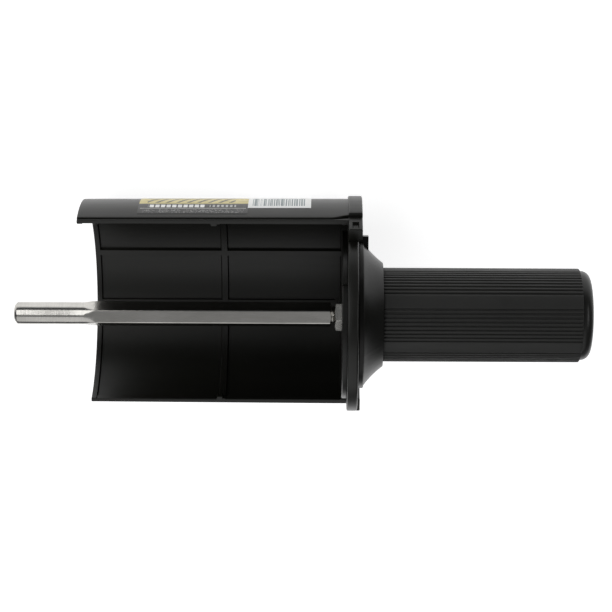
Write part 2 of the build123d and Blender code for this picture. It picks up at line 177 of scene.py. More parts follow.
# Collar, lugs and ring of the guard; skins that are fused differ by a few nudges, so none share a face
NUDGE = 0.01
RING_X = PLATE_END_X + 0.2
RING_END_X = RING_X + 4.7
COLLAR_X = RING_X + 0.3
COLLAR_IN_R = 43.6
COLLAR_HALF_ANGLE = 89.4
COLLAR_ROUND = 0.6
END_WALL_IN_R = 39.0
END_WALL_R = LIP_R - 0.2
END_WALL_HALF_ANGLE = GUARD_HALF_ANGLE - 0.2
LUG_HALF_ANGLE = 100.0
LUG_ROOT_IN_R = 41.8
LUG_ROOT_R = LIP_R - 1.5
LUG_ROOT_HALF_ANGLE = LUG_HALF_ANGLE - 0.1
LUG_POCKET_ANGLES = (93.8, 98.6)
LUG_POCKET_MARGIN = 1.6
LUG_POCKET_DEPTH = 1.1
LUG_POCKET_EDGE = 0.35
RING_BORE_R = 30.25
RING_R = 42.9
RING_ROUND = 0.6
RING_REAR_ROUND = 0.9

# Grip
GRIP_BORE_R = 16.05
GRIP_ROUND = 0.3
GROOVE_GROUPS = 6
GROOVES_PER_GROUP = 9
GROOVE_PITCH = 5.0
GROOVE_WIDTH = 0.85
GROOVE_DEPTH = 0.55
GROOVE_SHOULDER = 0.12
GROOVE_SIDE_POINTS = ((0.1, 0.8), (0.22, 1.0))
LAND_CLOCK = 51.5

# Labels
LABEL_CLOCKS = (92.2, 140.0)
STICKER_CLOCKS = (98.7, 140.0)
FILM_THICK = 0.10
FILM_ROUND = 0.04

# Print on the label and the sticker: spans in millimetres along the axis and up from the rim edge
GOLD_UP = (10.9, 28.8)
STRIPES_ALONG, STRIPES_UP = (3.5, 42.0), (12.3, 25.5)
STRIPE_PITCH, STRIPE_SHARE, STRIPE_SLANT = 4.6, 0.34, 0.55
BOLD_ALONG, BOLD_UP = (4.2, 29.4), (6.3, 9.5)
BOLD_PITCH, BOLD_SHARE = 2.45, 0.74
THIN_ALONG, THIN_UP = (31.0, 42.5), (6.6, 9.2)
THIN_PITCH, THIN_SHARE = 1.9, 0.55
RULE_ALONG, RULE_UP = (0.8, 46.9), (4.9, 5.5)
FINE_ALONG, FINE_UP = (2.0, 46.0), (0.7, 4.2)
BARS_ALONG, BARS_UP = (1.9, 24.8), (2.2, 17.0)
STICKER_RULE_ALONG, STICKER_RULE_UP = (3.6, 20.0), (19.0, 20.2)

# Tones
BLACK_DEEP, BLACK_PALE = (0.0053, 0.0053, 0.0040), (0.0069, 0.0069, 0.0053)
HUB_DEEP, HUB_PALE = (0.0058, 0.0058, 0.0048), (0.0075, 0.0075, 0.0062)
PLATE_DEEP, PLATE_PALE = (0.0056, 0.0056, 0.0045), (0.0072, 0.0072, 0.0058)
CAP_DEEP, CAP_PALE = (0.0062, 0.0062, 0.0052), (0.0080, 0.0080, 0.0068)
RUBBER_DEEP, RUBBER_PALE = (0.0076, 0.0076, 0.0064), (0.0104, 0.0104, 0.0090)
STEEL_CLEAN, STEEL_STAINED = (0.60, 0.585, 0.555), (0.42, 0.41, 0.385)
STEEL_LINE = (0.30, 0.29, 0.275)
ZINC, GROUND_STEEL, PRESSED_STEEL = (0.56, 0.55, 0.52), (0.62, 0.62, 0.63), (0.52, 0.52, 0.52)
BLACK_OXIDE, PHOSPHATE = (0.10, 0.10, 0.10), (0.14, 0.135, 0.13)
NYLON_NATURAL, NYLON_BLUE, RUBBER = (0.66, 0.62, 0.50), (0.05, 0.14, 0.42), (0.014, 0.014, 0.014)
FILM_BLACK, FILM_GOLD, FILM_WHITE = (0.012, 0.012, 0.012), (0.56, 0.47, 0.16), (0.80, 0.80, 0.78)
FINE_GREY, THIN_GREY, RULE_GREY = (0.16, 0.16, 0.16), (0.42, 0.42, 0.41), (0.35, 0.35, 0.34)
STRIPE_BROWN, WORN_BLACK = (0.045, 0.04, 0.02), (0.03, 0.03, 0.028)
PAPER_WHITE, PAPER_SHADE, BAR_GREY = (0.86, 0.86, 0.85), (0.76, 0.76, 0.75), (0.26, 0.30, 0.31)


# ---- mesh helpers -------------------------------------------------------------------------

def at(x, radius, clock, centre_z=0.0):
    """Point in metres at a distance along the axis, a radius and a clock angle."""
    turn = radians(clock)
    return Vector((x, radius * sin(turn), radius * cos(turn) + centre_z)) * MM


def stations(breaks, step):
    """Values from the first break to the last, none further apart than a step."""
    values = [breaks[0]]
    for start, end in zip(breaks, breaks[1:]):
        count = max(1, ceil((end - start) / step - 1e-6))
        values += [start + (end - start) * k / count for k in range(1, count + 1)]
    return values


def arc_distances(radius):
    """Distances from an edge at which a round of that radius is sampled."""
    return [radius * (1 - cos(pi / 2 * k / ARC_STEPS)) for k in range(ARC_STEPS + 1)]


def edge_drop(distance, radius):
    """How far a rounded edge has fallen away at a distance from the edge."""
    if distance >= radius:
        return 0.0
    inward = radius - max(0.0, distance)
    return radius - sqrt(max(0.0, radius * radius - inward * inward))


def smooth(value, start, end):
    """Smooth step from 0 at start to 1 at end."""
    share = min(1.0, max(0.0, (value - start) / (end - start)))
    return share * share * (3 - 2 * share)


def rib(distance, half_width):
    """Height share of a moulded rib with soft edges, at a distance from its middle."""
    return 1 - smooth(distance, half_width - RIB_TOP, half_width + RIB_FOOT)


def rib_breaks(middle, half_width):
    """Where a rib's two flanks are sampled."""
    flank = [half_width - RIB_TOP + (RIB_TOP + RIB_FOOT) * k / ARC_STEPS for k in range(ARC_STEPS + 1)]
    return sorted([middle - d for d in flank] + [middle + d for d in flank])


def rounded(corners):
    """Closed outline of (x, radius) points from corners of (x, radius, fillet radius)."""
    outline = []
    for k, (x, r, fillet) in enumerate(corners):
        corner = Vector((x, r))
        if not fillet:
            outline.append(corner)
            continue
        before = (Vector(corners[k - 1][:2]) - corner).normalized()
        after = (Vector(corners[(k + 1) % len(corners)][:2]) - corner).normalized()
        half = before.angle(after) / 2
        centre = corner + (before + after).normalized() * (fillet / sin(half))
        start = corner + before * (fillet / tan(half)) - centre
        end = corner + after * (fillet / tan(half)) - centre
        for step in range(ARC_STEPS + 1):
            outline.append(centre + start.slerp(end, step / ARC_STEPS) * fillet)
    return [(point.x, point.y) for point in outline]


def new_object(name, points, faces):
    """A smooth-shaded closed mesh object from points in metres."""
    mesh = bpy.data.meshes.new(name)
    mesh.from_pydata(points, [], faces)
    work = bmesh.new()
    work.from_mesh(mesh)
    bmesh.ops.remove_doubles(work, verts=work.verts, dist=1e-7)
    bmesh.ops.dissolve_degenerate(work, edges=work.edges, dist=1e-8)
    bmesh.ops.recalc_face_normals(work, faces=work.faces)
    work.to_mesh(mesh)
    work.free()
    made = bpy.data.objects.new(name, mesh)
    bpy.context.scene.collection.objects.link(made)
    return made


def loft(name, rings, closed=False):
    """Mesh through rings of points; a closed one joins its last ring to its first."""
    count = len(rings[0])
    points = [point for ring in rings for point in ring]
    faces = []
    spans = len(rings) if closed else len(rings) - 1
    for i in range(spans):
        for j in range(count):
            here, there = i * count, (i + 1) % len(rings) * count
            following = (j + 1) % count
            faces.append((here + j, here + following, there + following, there + j))
    return new_object(name, points, faces)


def turned(name, outline, clocks, shape=None):
    """Revolve a closed outline of (x, radius); shape can change a point at a clock angle."""
    rings = []
    for clock in clocks:
        moved = [shape(x, r, clock) if shape else (x, r) for x, r in outline]
        rings.append([at(x, r, clock) for x, r in moved])
    return loft(name, rings, closed=True)


def slab(name, xs, angles, outer, inner, warp=None):
    """Closed curved plate about the guard's lowered centre, between two radius functions."""
    points = []
    for surface in (outer, inner):
        for x in xs:
            for angle in angles:
                placed = warp(x, angle) if warp else angle
                points.append(at(x, surface(x, angle), GUARD_CLOCK - placed, -GUARD_DROP))
    rows, columns = len(xs), len(angles)

    def index(side, i, j):
        return side * rows * columns + i * columns + j

    faces = []
    for i in range(rows - 1):
        for j in range(columns - 1):
            for side in (0, 1):
                faces.append((index(side, i, j), index(side, i, j + 1), index(side, i + 1, j + 1),
                              index(side, i + 1, j)))
    for i in (0, rows - 1):
        for j in range(columns - 1):
            faces.append((index(0, i, j), index(0, i, j + 1), index(1, i, j + 1), index(1, i, j)))
    for j in (0, columns - 1):
        for i in range(rows - 1):
            faces.append((index(0, i, j), index(0, i + 1, j), index(1, i + 1, j), index(1, i, j)))
    return new_object(name, points, faces)


def fuse(base, others):
    """Join closed meshes into the first one as a single skin."""
    for other in others:
        union = base.modifiers.new("union", "BOOLEAN")
        union.operation = "UNION"
        union.solver = "MANIFOLD"
        union.object = other
    evaluated = base.evaluated_get(bpy.context.evaluated_depsgraph_get())
    base.data = bpy.data.meshes.new_from_object(evaluated)
    base.modifiers.clear()
    for other in others:
        bpy.data.objects.remove(other)
    return base


def finish_piece(piece, body, nodes, material):
    """Give a piece its body, slot, material and shading, and hide the CAD nodes it stands for."""
    piece.data.materials.clear()
    piece.data.materials.append(material)
    piece.data.shade_smooth()
    piece.data.set_sharp_from_angle(angle=radians(SHARP_ANGLE))
    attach(piece, body)
    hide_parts(*nodes)
    return piece


# ---- spindle and nut ------------------------------------------------------------------------

def hexagon_radius(clock, flats, corner_clock, corner_round):
    """Radius of a hexagon with rounded corners at a clock angle."""
    from_corner = radians(abs((clock - corner_clock + 30) % 60 - 30))
    reach = (flats / 2 - corner_round) / cos(radians(30))
    tangent = atan(corner_round * sin(radians(30)) / (reach + corner_round * cos(radians(30))))
    if from_corner < tangent:
        return reach * cos(from_corner) + sqrt(corner_round ** 2 - (reach * sin(from_corner)) ** 2)
    return flats / 2 / cos(radians(30) - from_corner)


def thread_radius(x, clock, start_x, end_x):
    """Radius of a V thread, which runs out at both of its ends."""
    phase = (x / THREAD_PITCH - clock / 360) % 1
    runout = smooth(min(x - start_x, end_x - x), 0.0, THREAD_LEAD_IN)
    return JOURNAL_R - THREAD_DEPTH * abs(2 * phase - 1) * runout


def spindle():
    """Steel bar: turned shank, hexagon with scalloped ends, journal threaded at both ends."""
    clocks = [HEX_CLOCK + CURVE_STEP * k for k in range(int(360 / CURVE_STEP))]

    def hexagon(clock):
        return hexagon_radius(clock, HEX_FLATS, HEX_CLOCK, HEX_ROUND)

    def scallop(clock):
        return (hexagon(clock) - SHANK_R) / (hexagon(HEX_CLOCK) - SHANK_R)

    def circle(x, r):
        return [at(x, r, clock) for clock in clocks]

    rings = [circle(TIP_X, 0.0)]
    for k in range(ARC_STEPS + 1):
        turn = pi / 4 * k / ARC_STEPS
        rings.append(circle(TIP_X + TIP_ROUND * (1 - cos(turn)), TIP_FACE_R + TIP_ROUND * sin(turn)))
    rings += [circle(-SHANK_EASE, SHANK_R - SHANK_EASE_DEPTH), circle(SHANK_EASE, SHANK_R)]
    rings += [circle(x, SHANK_R) for x in stations([SHANK_FIRST_X, SHANK_END_X], SHANK_STEP)]
    for share in SCALLOP_SHARES:
        rings.append([
            at(SHANK_END_X + HEX_TAPER * scallop(clock) * share,
               SHANK_R + (hexagon(clock) - SHANK_R) * share, clock) for clock in clocks
        ])
    for x in stations([SHANK_END_X + HEX_TAPER + 1, HEX_END_X - 2], HEX_STEP):
        rings.append([at(x, hexagon(clock), clock) for clock in clocks])
    for share in (0.0, 0.5, 1.0):
        rings.append([
            at(HEX_END_X - HEX_END_BEVEL * (hexagon(clock) - HEX_END_R) * (1 - share),
               hexagon(clock) + (HEX_END_R - hexagon(clock)) * share, clock) for clock in clocks
        ])
    journal_x = HEX_END_X + JOURNAL_SHOULDER_LENGTH
    rings += [circle(HEX_END_X, JOURNAL_R + JOURNAL_SHOULDER), circle(journal_x, JOURNAL_R)]
    front_thread = (journal_x, PLATE_END_X)
    rear_thread = (LOCK_NUT_X - 1, JOURNAL_END_X - JOURNAL_BEVEL)
    for start, end in (front_thread, rear_thread):
        for x in stations([start, end], THREAD_PITCH / THREAD_STEPS)[1:]:
            rings.append([at(x, thread_radius(x, clock, start, end), clock) for clock in clocks])
    rings += [circle(JOURNAL_END_X, JOURNAL_R - THREAD_DEPTH), circle(JOURNAL_END_X, 0.0)]
    return loft("spindle", rings)


def jam_nut():
    """Hexagon nut with its corners turned off and a countersunk bore."""
    clocks = [NUT_CLOCK + CURVE_STEP * k for k in range(int(360 / CURVE_STEP))]

    def hexagon(clock):
        return hexagon_radius(clock, NUT_FLATS, NUT_CLOCK, NUT_ROUND)

    def inset(clock, share):
        return (hexagon(clock) - NUT_FACE_R) * tan(radians(NUT_CHAMFER_ANGLE)) * share

    def side(face_x, inward, share):
        ring = []
        for clock in clocks:
            radius = NUT_FACE_R + (hexagon(clock) - NUT_FACE_R) * share
            ring.append(at(face_x + inward * inset(clock, share), radius, clock))
        return ring

    def circle(x, r):
        return [at(x, r, clock) for clock in clocks]

    front = [
        circle(NUT_X + NUT_COUNTERSINK, JOURNAL_R), circle(NUT_X, JOURNAL_R + NUT_COUNTERSINK),
        circle(NUT_X, NUT_FACE_R - NUT_FACE_EASE),
    ]
    back = [
        circle(NUT_END_X, NUT_FACE_R - NUT_FACE_EASE), circle(NUT_END_X, JOURNAL_R + NUT_COUNTERSINK),
        circle(NUT_END_X - NUT_COUNTERSINK, JOURNAL_R),
    ]
    sides = [
        side(NUT_X, 1, NUT_FACE_EASE), side(NUT_X, 1, 1.0),
        side(NUT_END_X, -1, 1.0), side(NUT_END_X, -1, NUT_FACE_EASE),
    ]
    return loft("hex_nut", front + sides + back, closed=True)


# ---- grip -----------------------------------------------------------------------------------

def grip():
    """Soft sleeve with groups of fine lengthwise grooves between plain lands."""
    half = GROOVE_WIDTH / 2
    profile = [(-half - GROOVE_SHOULDER, 0.0), (-half, GROOVE_SHOULDER)]
    profile += [(-half + inward, depth) for inward, depth in GROOVE_SIDE_POINTS]
    profile += [(-offset, depth) for offset, depth in reversed(profile)]
    depth_at = {}
    for group in range(GROOVE_GROUPS):
        middle = LAND_CLOCK + (group + 0.5) * 360 / GROOVE_GROUPS
        for k in range(GROOVES_PER_GROUP):
            centre = middle + (k - (GROOVES_PER_GROUP - 1) / 2) * GROOVE_PITCH
            for offset, depth in profile:
                depth_at[centre + degrees(offset / GRIP_R)] = depth * GROOVE_DEPTH
    breaks = sorted(depth_at)
    clocks = stations(breaks + [breaks[0] + 360], CURVE_STEP)[:-1]

    def sleeve_r(x):
        end = min(x - GRIP_X, GRIP_END_X - x)
        return GRIP_R - edge_drop(end, GRIP_ROUND)

    ends = arc_distances(GRIP_ROUND)
    xs = [GRIP_X + d for d in ends] + stations([GRIP_X + 2, GRIP_END_X - 2], LENGTH_STEP)
    xs += [GRIP_END_X - d for d in reversed(ends)]
    outline = [(x, sleeve_r(x)) for x in xs] + [(GRIP_END_X, GRIP_BORE_R), (GRIP_X, GRIP_BORE_R)]

    def shape(x, r, clock):
        return (x, r if r <= GRIP_BORE_R else r - depth_at.get(clock, 0.0))

    return turned("ribbed_grip", outline, clocks, shape)


# ---- guard ----------------------------------------------------------------------------------

def rim_distance(angle):
    """Distance in millimetres from the nearer long edge of the guard."""
    return radians(GUARD_HALF_ANGLE - abs(angle)) * GUARD_R


def both_sides(distances, half_angle, radius):
    """Angles at given distances from both ends of a sector."""
    inward = [half_angle - degrees(d / radius) for d in distances]
    return [-angle for angle in inward] + inward


def draft(x):
    """How far the skin has come in at a distance along the axis."""
    return GUARD_DRAFT * max(0.0, COLLAR_X - x) / (COLLAR_X - GUARD_X)


def wall_outer(x, angle):
    """Outer skin, with a shadow groove and a lower shelf along each long edge."""
    distance = rim_distance(angle)
    if distance > SHELF + 1e-6:
        radius = GUARD_R - edge_drop(distance - SHELF, RIM_ROUND / 2)
    elif distance > SHELF - SHELF_GROOVE + 1e-6:
        radius = SHELF_GROOVE_R
    else:
        radius = LIP_R - edge_drop(distance, RIM_ROUND)
    return radius - draft(x) - edge_drop(x - GUARD_X, RIM_ROUND)


def wall_inner(x, angle):
    """Inner skin, with its ribs, thick lips and rim tabs."""
    distance = rim_distance(angle)
    heights = [
        RIB_HEIGHT * rib(x - GUARD_X, BEAD_LENGTH),
        RIB_HEIGHT * rib(abs(x - MID_RIB_X), MID_RIB_LENGTH / 2),
        RIB_HEIGHT * rib(RING_X - x, BEAD_LENGTH),
        LIP_HEIGHT * rib(distance, LIP_WIDTH),
        TAB_HEIGHT * rib(abs(x - TAB_X), TAB_HALF_LENGTH) * rib(distance, TAB_WIDTH),
    ]
    for offset in LONG_RIB_ANGLES:
        heights.append(RIB_HEIGHT * rib(radians(abs(angle - offset)) * WALL_IN_R, LONG_RIB_WIDTH / 2))
    rounds = edge_drop(distance, RIM_ROUND) + edge_drop(x - GUARD_X, RIM_ROUND)
    return WALL_IN_R - max(heights) + rounds


def sweep(x, angle):
    """Angle moved inwards near the collar, where the long edge's shelf widens to the collar's foot."""
    near_edge = smooth(abs(angle), *SWEEP_RISE) * (1 - smooth(abs(angle), SWEEP_FALL, GUARD_HALF_ANGLE))
    shift = SWEEP_ANGLE * smooth(x, COLLAR_X - SWEEP_LENGTH, COLLAR_X) * near_edge
    return angle - shift if angle > 0 else angle + shift


def guard_wall():
    """Half-round wall with its beads, ribs, lips and shelves, sampled where they begin and end."""
    edge_breaks = arc_distances(RIM_ROUND) + [
        SHELF - SHELF_GROOVE, SHELF - SHELF_GROOVE + SHELF_STEP, SHELF, SHELF + SHELF_STEP,
    ]
    edge_breaks += [SHELF + SHELF_STEP + d for d in arc_distances(RIM_ROUND / 2)[1:]]
    edge_breaks += rib_breaks(0, LIP_WIDTH)[ARC_STEPS + 1:]
    edge_breaks += rib_breaks(0, TAB_WIDTH)[ARC_STEPS + 1:]
    angle_breaks = both_sides(sorted(set(edge_breaks)), GUARD_HALF_ANGLE, GUARD_R)
    for offset in LONG_RIB_ANGLES:
        angle_breaks += [offset + degrees(d / WALL_IN_R) for d in rib_breaks(0, LONG_RIB_WIDTH / 2)]
    x_breaks = [GUARD_X + d for d in arc_distances(RIM_ROUND)]
    x_breaks += rib_breaks(GUARD_X, BEAD_LENGTH)[ARC_STEPS + 1:]
    x_breaks += rib_breaks(MID_RIB_X, MID_RIB_LENGTH / 2)
    x_breaks += rib_breaks(TAB_X, TAB_HALF_LENGTH)
    x_breaks += rib_breaks(RING_X, BEAD_LENGTH)[:ARC_STEPS + 1]
    x_breaks += stations([COLLAR_X - SWEEP_LENGTH, COLLAR_X, RING_X + 2.0], 0.8)
    return slab("guard_shell_moulding", stations(sorted(set(x_breaks)), SKIN_STEP),
                stations(sorted(set(angle_breaks)), CURVE_STEP), wall_outer, wall_inner, sweep)


def sector(name, x0, x1, r_in, r_out, half_angle, edge, dip=None, extra_angles=(), extra_xs=()):
    """Sector of a ring with rounded edges; dip lowers its outer face at (x, angle)."""
    xs = [x0 + d for d in arc_distances(edge)] + [x1 - d for d in arc_distances(edge)] + list(extra_xs)
    angles = both_sides(arc_distances(edge), half_angle, r_out) + list(extra_angles)

    def rounds(x, angle):
        end = min(x - x0, x1 - x)
        side = radians(half_angle - abs(angle)) * r_out
        return max(edge_drop(end, edge), edge_drop(side, edge))

    def outer(x, angle):
        return r_out - rounds(x, angle) - (dip(x, angle) if dip else 0.0)

    def inner(x, angle):
        return r_in + rounds(x, angle)

    return slab(name, sorted(set(xs)), stations(sorted(set(angles)), CURVE_STEP), outer, inner)


def lugs():
    """Lower end of the collar past each long edge of the wall, with a shallow pocket."""
    soft = LUG_POCKET_EDGE
    x0, x1 = COLLAR_X + LUG_POCKET_MARGIN, COLLAR_END_X - LUG_POCKET_MARGIN
    near, far = LUG_POCKET_ANGLES
    edges = [near, near + soft, far - soft, far]

    def dip(x, angle):
        across = smooth(x, x0, x0 + soft) * (1 - smooth(x, x1 - soft, x1))
        along = smooth(abs(angle), near, near + soft) * (1 - smooth(abs(angle), far - soft, far))
        return LUG_POCKET_DEPTH * across * along

    return sector("lugs", COLLAR_X + 2 * NUDGE, COLLAR_END_X - 2 * NUDGE, COLLAR_IN_R, LIP_R, LUG_HALF_ANGLE,
                  COLLAR_ROUND, dip, [-edge for edge in edges] + edges, [x0, x0 + soft, x1 - soft, x1])


def guard():
    """Whole guard as one skin: wall, end wall, ring, collar and lugs."""
    wall = guard_wall()
    end_wall = sector("end_wall", RING_X + 5 * NUDGE, RING_END_X - 5 * NUDGE, END_WALL_IN_R, END_WALL_R,
                      END_WALL_HALF_ANGLE, RIM_ROUND)
    roots = sector("lug_roots", COLLAR_X + 4 * NUDGE, RING_END_X - 3 * NUDGE, LUG_ROOT_IN_R, LUG_ROOT_R,
                   LUG_ROOT_HALF_ANGLE, COLLAR_ROUND)
    collar = sector("collar", COLLAR_X, COLLAR_END_X, COLLAR_IN_R + NUDGE, COLLAR_R, COLLAR_HALF_ANGLE,
                    COLLAR_ROUND)
    outline = rounded([
        (RING_X, RING_BORE_R, RING_ROUND), (RING_END_X, RING_BORE_R, RING_ROUND),
        (RING_END_X, RING_R, RING_REAR_ROUND), (RING_X, RING_R, RING_ROUND),
    ])
    ring = turned("ring", outline, stations([0, 360], CURVE_STEP)[:-1])
    return fuse(wall, [end_wall, collar, lugs(), roots, ring])


def film(name, x0, x1, clocks):
    """Thin film on the guard's outer skin between two clock angles, with soft edges."""
    first, last = [GUARD_CLOCK - clock for clock in clocks]
    ends = arc_distances(FILM_ROUND)
    edge = [degrees(d / GUARD_R) for d in ends]
    angles = [last + d for d in edge] + [first - d for d in reversed(edge)]
    xs = [x0 + d for d in ends] + [x1 - d for d in reversed(ends)]

    def skin(x, angle):
        return GUARD_R - draft(x)

    def outer(x, angle):
        side = radians(min(angle - last, first - angle)) * GUARD_R
        return skin(x, angle) + FILM_THICK - edge_drop(min(x - x0, x1 - x, side), FILM_ROUND)

    return slab(name, stations(xs, LENGTH_STEP), stations(angles, CURVE_STEP), outer, skin)


# ---- materials ------------------------------------------------------------------------------

class Finish:
    """A procedural material: a principled shader and the nodes that feed it."""

    def __init__(self, name, roughness, metallic=0.0, **sockets):
        self.material = bpy.data.materials.new(name)
        self.material.use_nodes = True
        self.tree = self.material.node_tree
        self.shader = self.tree.nodes["Principled BSDF"]
        self.shader.inputs["Roughness"].default_value = roughness
        self.shader.inputs["Metallic"].default_value = metallic
        for socket, value in sockets.items():
            self.shader.inputs[socket.replace("_", " ")].default_value = value
        coordinates = self.tree.nodes.new("ShaderNodeTexCoord")
        self.position = self.scaled(coordinates.outputs["Object"], (1 / MM,) * 3)
        split = self.tree.nodes.new("ShaderNodeSeparateXYZ")
        self.tree.links.new(self.position, split.inputs[0])
        self.x, self.y, self.z = split.outputs

    def link(self, value, socket):
        """Feed a socket from an output or with a plain value."""
        if isinstance(value, bpy.types.NodeSocket):
            self.tree.links.new(value, socket)
        else:
            socket.default_value = value

    def scaled(self, vector, factors):
        """A vector multiplied by a factor on each axis."""
        node = self.tree.nodes.new("ShaderNodeVectorMath")
        node.operation = "MULTIPLY"
        self.link(vector, node.inputs[0])
        node.inputs[1].default_value = factors
        return node.outputs[0]

    def math(self, operation, *values):
        """One arithmetic step on values."""
        node = self.tree.nodes.new("ShaderNodeMath")
        node.operation = operation
        for value, socket in zip(values, node.inputs):
            self.link(value, socket)
        return node.outputs[0]

    def within(self, value, start, end):
        """1 where a value lies between two limits, else 0."""
        return self.math("COMPARE", value, (start + end) / 2, abs(end - start) / 2)

    def both(self, *masks):
        """1 where all the masks are 1."""
        result = masks[0]
        for mask in masks[1:]:
            result = self.math("MULTIPLY", result, mask)
        return result

    def patch(self, mask, along, up, along_span, up_span):
        """A mask kept only inside a rectangle on a film."""
        return self.both(mask, self.within(up, *up_span), self.within(along, *along_span))

    def blocks(self, value, pitch, share):
        """1 over a share of every pitch, else 0."""
        return self.math("LESS_THAN", self.math("FRACT", self.math("DIVIDE", value, pitch)), share)

    def noise(self, scale, detail=3.0, roughness=0.5, stretch=(1, 1, 1), seed=0.0):
        """Noise with so many features per millimetre, 0 to 1."""
        node = self.tree.nodes.new("ShaderNodeTexNoise")
        node.noise_dimensions = "4D"
        node.inputs["W"].default_value = seed
        node.inputs["Scale"].default_value = scale
        node.inputs["Detail"].default_value = detail
        node.inputs["Roughness"].default_value = roughness
        self.link(self.scaled(self.position, stretch), node.inputs["Vector"])
        return node.outputs["Fac"]

    def span(self, value, low_out, high_out, low_in=0.0, high_in=1.0):
        """A value carried over from one range to another, clamped."""
        node = self.tree.nodes.new("ShaderNodeMapRange")
        for value_in, socket in zip((value, low_in, high_in, low_out, high_out), node.inputs):
            self.link(value_in, socket)
        return node.outputs[0]

    def mix(self, share, first, second):
        """Colour between two colours."""
        node = self.tree.nodes.new("ShaderNodeMix")
        node.data_type = "RGBA"
        self.link(share, node.inputs[0])
        for colour, socket in ((first, node.inputs[6]), (second, node.inputs[7])):
            self.link((*colour, 1) if isinstance(colour, tuple) else colour, socket)
        return node.outputs[2]

    def bump(self, height, depth, below=None):
        """Normal from a height field whose full range is a depth in millimetres."""
        node = self.tree.nodes.new("ShaderNodeBump")
        node.inputs["Distance"].default_value = depth * MM
        self.link(height, node.inputs["Height"])
        if below:
            self.link(below, node.inputs["Normal"])
        return node.outputs[0]

    def done(self, colour, roughness=None, normal=None):
        """The finished material, from its colour, roughness and normal."""
        self.link((*colour, 1) if isinstance(colour, tuple) else colour, self.shader.inputs["Base Color"])
        if roughness is not None:
            self.link(roughness, self.shader.inputs["Roughness"])
        if normal is not None:
            self.link(normal, self.shader.inputs["Normal"])
        return self.material


def moulded_plastic(name, dark, light, roughness, grain, seed, gloss=0.36):
    """Black moulding with eroded grain, faint flow streaks and uneven sheen."""
    finish = Finish(name, roughness, Specular_IOR_Level=gloss)
    clouds = finish.noise(0.03, 4.0, 0.55, (0.5, 1, 1), seed)
    grains = finish.noise(2.6, 2.0, 0.6, seed=seed + 1)
    streaks = finish.noise(0.5, 3.0, 0.6, (0.06, 1, 1), seed + 2)
    colour = finish.mix(finish.span(clouds, 0, 1, 0.35, 0.65), dark, light)
    shine = finish.math("ADD", finish.span(clouds, roughness - 0.04, roughness + 0.04, 0.3, 0.7),
                        finish.span(streaks, -0.03, 0.03, 0.3, 0.7))
    normal = finish.bump(finish.span(streaks, 0, 1, 0.3, 0.7), 0.004)
    return finish.done(colour, shine, finish.bump(grains, grain, normal))


def grip_rubber():
    """Dull black thermoplastic rubber with a fine sandy grain."""
    finish = Finish("grip_rubber_ribbed", 0.55)
    clouds = finish.noise(0.05, 4.0, 0.6, seed=11)
    grains = finish.noise(4.5, 2.0, 0.7, seed=12)
    smears = finish.noise(0.25, 3.0, 0.6, (0.15, 1, 1), 13)
    colour = finish.mix(finish.span(clouds, 0, 1, 0.35, 0.65), RUBBER_DEEP, RUBBER_PALE)
    shine = finish.math("ADD", finish.span(clouds, 0.50, 0.60, 0.3, 0.7),
                        finish.span(smears, -0.05, 0.05, 0.3, 0.7))
    return finish.done(colour, shine, finish.bump(grains, 0.012))


def bright_steel():
    """Drawn hexagon with lengthwise lines, and a turned shank with fine rings."""
    finish = Finish("spindle_steel", 0.14, 1.0)
    shank = finish.math("LESS_THAN", finish.x, TURNED_END_X)
    drawn = finish.noise(6.0, 3.0, 0.7, (0.012, 1, 1), 21)
    turned_lines = finish.noise(5.0, 3.0, 0.65, (1, 0.01, 0.01), 22)
    stains = finish.noise(0.12, 4.0, 0.6, (0.35, 1, 1), 23)
    lines = finish.mix(shank, finish.span(drawn, 0, 1, 0.25, 0.75), finish.span(turned_lines, 0, 1, 0.3, 0.7))
    tone = finish.mix(finish.span(stains, 0, 1, 0.35, 0.7), STEEL_CLEAN, STEEL_STAINED)
    colour = finish.mix(finish.math("MULTIPLY", lines, 0.35), tone, STEEL_LINE)
    shine = finish.math("ADD", finish.span(lines, 0.10, 0.19), finish.span(stains, -0.04, 0.05, 0.3, 0.7))
    return finish.done(colour, shine, finish.bump(lines, 0.006))


def plain_steel(name, tone, roughness, seed, grain=0.004):
    """Plated or ground steel with a fine uneven surface."""
    finish = Finish(name, roughness, 1.0)
    clouds = finish.noise(0.4, 4.0, 0.6, seed=seed)
    grains = finish.noise(5.0, 3.0, 0.6, seed=seed + 1)
    dim = tuple(0.75 * part for part in tone)
    colour = finish.mix(finish.span(clouds, 0, 1, 0.35, 0.7), tone, dim)
    shine = finish.span(clouds, roughness - 0.06, roughness + 0.08, 0.3, 0.7)
    return finish.done(colour, shine, finish.bump(grains, grain))


def plain_polymer(name, tone, roughness, seed):
    """Nylon or rubber with a faint mottle."""
    finish = Finish(name, roughness)
    clouds = finish.noise(0.6, 4.0, 0.6, seed=seed)
    grains = finish.noise(4.0, 2.0, 0.6, seed=seed + 1)
    dim = tuple(0.8 * part for part in tone)
    colour = finish.mix(finish.span(clouds, 0, 1, 0.35, 0.7), tone, dim)
    shine = finish.span(clouds, roughness - 0.05, roughness + 0.05, 0.3, 0.7)
    return finish.done(colour, shine, finish.bump(grains, 0.008))


def film_place(finish, first_clock, first_x):
    """Millimetres along the film and up from its rim edge."""
    turn = finish.math("ARCTAN2", finish.y, finish.math("ADD", finish.z, GUARD_DROP))
    up = finish.math("MULTIPLY", finish.math("SUBTRACT", turn, radians(first_clock)), GUARD_R)
    return finish.math("SUBTRACT", finish.x, first_x), up


